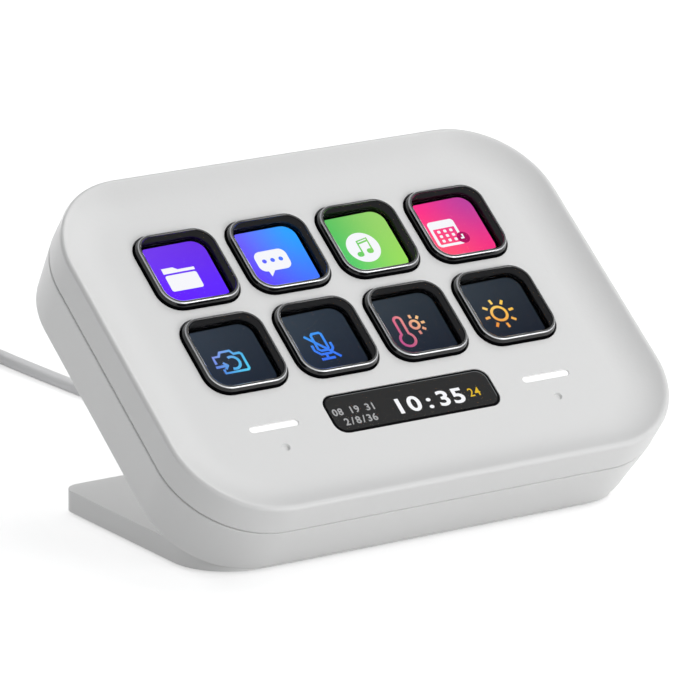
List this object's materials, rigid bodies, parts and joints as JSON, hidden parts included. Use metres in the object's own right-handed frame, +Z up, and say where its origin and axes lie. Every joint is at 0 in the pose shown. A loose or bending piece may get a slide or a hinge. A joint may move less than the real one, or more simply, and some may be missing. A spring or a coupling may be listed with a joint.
{
  "type": "desk keypad with display keys",
  "caption": "Desk keypad with square picture keys, a narrow display bar and touch spots in a leaning dished white housing, on a flat bent foot with a captive lead.",
  "frame": {"origin": "on the desk, under the middle of the box round the keypad without its free lead", "axes": "+X to the user's right, +Y away from the user, +Z up; the face leans back 36.8 degrees from level"},
  "size_m": [0.107, 0.1991, 0.0614],
  "materials": {
    "shell_white": "fine satin",
    "key_black": "gloss",
    "key_clear": "clear gloss",
    "window_clear": "smoked gloss",
    "light_guide": "milky",
    "silicone": "matte",
    "panel_dark": "gloss",
    "light_box": "matte",
    "inner_black": "matte",
    "copper_film": "satin",
    "board_green": "satin",
    "chip_black": "matte",
    "socket_cream": "matte",
    "wire_jacket": "satin",
    "ribbon_amber": "satin",
    "screw_steel": "bright",
    "weight_steel": "zinc plated",
    "sole_rubber": "matte",
    "lead_white": "satin",
    "plug_white": "satin"
  },
  "bodies": {
    "housing": {"front_shell": "shell_white", "rear_shell": "shell_white", "key_guide": "inner_black", "dome_mat": "silicone", "display_panel": "panel_dark", "display_backlight": "light_box", "display_carrier": "inner_black", "info_window": "window_clear", "info_display": "panel_dark", "light_bar_left": "light_guide", "light_bar_right": "light_guide", "touch_pad_left": "copper_film", "touch_pad_right": "copper_film", "main_board": "board_green", "board_chips": "chip_black", "board_leds": "light_guide", "lead_socket": "socket_cream", "inner_lead": "wire_jacket", "lead_clamp": "inner_black", "display_ribbon": "ribbon_amber", "info_ribbon": "ribbon_amber", "shell_screws": "screw_steel", "board_screws": "screw_steel", "stand_screws": "screw_steel", "stand": "shell_white", "foot_weight": "weight_steel", "foot_sole": "sole_rubber", "strain_relief": "lead_white", "cord": "lead_white", "cord_coil": "lead_white", "cord_tail": "lead_white", "plug_shell": "plug_white", "plug_contact": "screw_steel"},
    "key_1": {"key_frame_1": "key_black", "key_lens_1": "key_clear"},
    "key_2": {"key_frame_2": "key_black", "key_lens_2": "key_clear"},
    "key_3": {"key_frame_3": "key_black", "key_lens_3": "key_clear"},
    "key_4": {"key_frame_4": "key_black", "key_lens_4": "key_clear"},
    "key_5": {"key_frame_5": "key_black", "key_lens_5": "key_clear"},
    "key_6": {"key_frame_6": "key_black", "key_lens_6": "key_clear"},
    "key_7": {"key_frame_7": "key_black", "key_lens_7": "key_clear"},
    "key_8": {"key_frame_8": "key_black", "key_lens_8": "key_clear"}
  },
  "joints": [
    {"name": "key_1_press", "type": "slide", "parent": "housing", "child": "key_1", "axis": [0, 0.599, -0.8007], "range_m": [0, 0.001], "stiffness_N_per_m": 600, "deforming": ["dome_mat"]},
    {"name": "key_2_press", "type": "slide", "parent": "housing", "child": "key_2", "axis": [0, 0.599, -0.8007], "range_m": [0, 0.001], "stiffness_N_per_m": 600, "deforming": ["dome_mat"]},
    {"name": "key_3_press", "type": "slide", "parent": "housing", "child": "key_3", "axis": [0, 0.599, -0.8007], "range_m": [0, 0.001], "stiffness_N_per_m": 600, "deforming": ["dome_mat"]},
    {"name": "key_4_press", "type": "slide", "parent": "housing", "child": "key_4", "axis": [0, 0.599, -0.8007], "range_m": [0, 0.001], "stiffness_N_per_m": 600, "deforming": ["dome_mat"]},
    {"name": "key_5_press", "type": "slide", "parent": "housing", "child": "key_5", "axis": [0, 0.599, -0.8007], "range_m": [0, 0.001], "stiffness_N_per_m": 600, "deforming": ["dome_mat"]},
    {"name": "key_6_press", "type": "slide", "parent": "housing", "child": "key_6", "axis": [0, 0.599, -0.8007], "range_m": [0, 0.001], "stiffness_N_per_m": 600, "deforming": ["dome_mat"]},
    {"name": "key_7_press", "type": "slide", "parent": "housing", "child": "key_7", "axis": [0, 0.599, -0.8007], "range_m": [0, 0.001], "stiffness_N_per_m": 600, "deforming": ["dome_mat"]},
    {"name": "key_8_press", "type": "slide", "parent": "housing", "child": "key_8", "axis": [0, 0.599, -0.8007], "range_m": [0, 0.001], "stiffness_N_per_m": 600, "deforming": ["dome_mat"]}
  ]
}
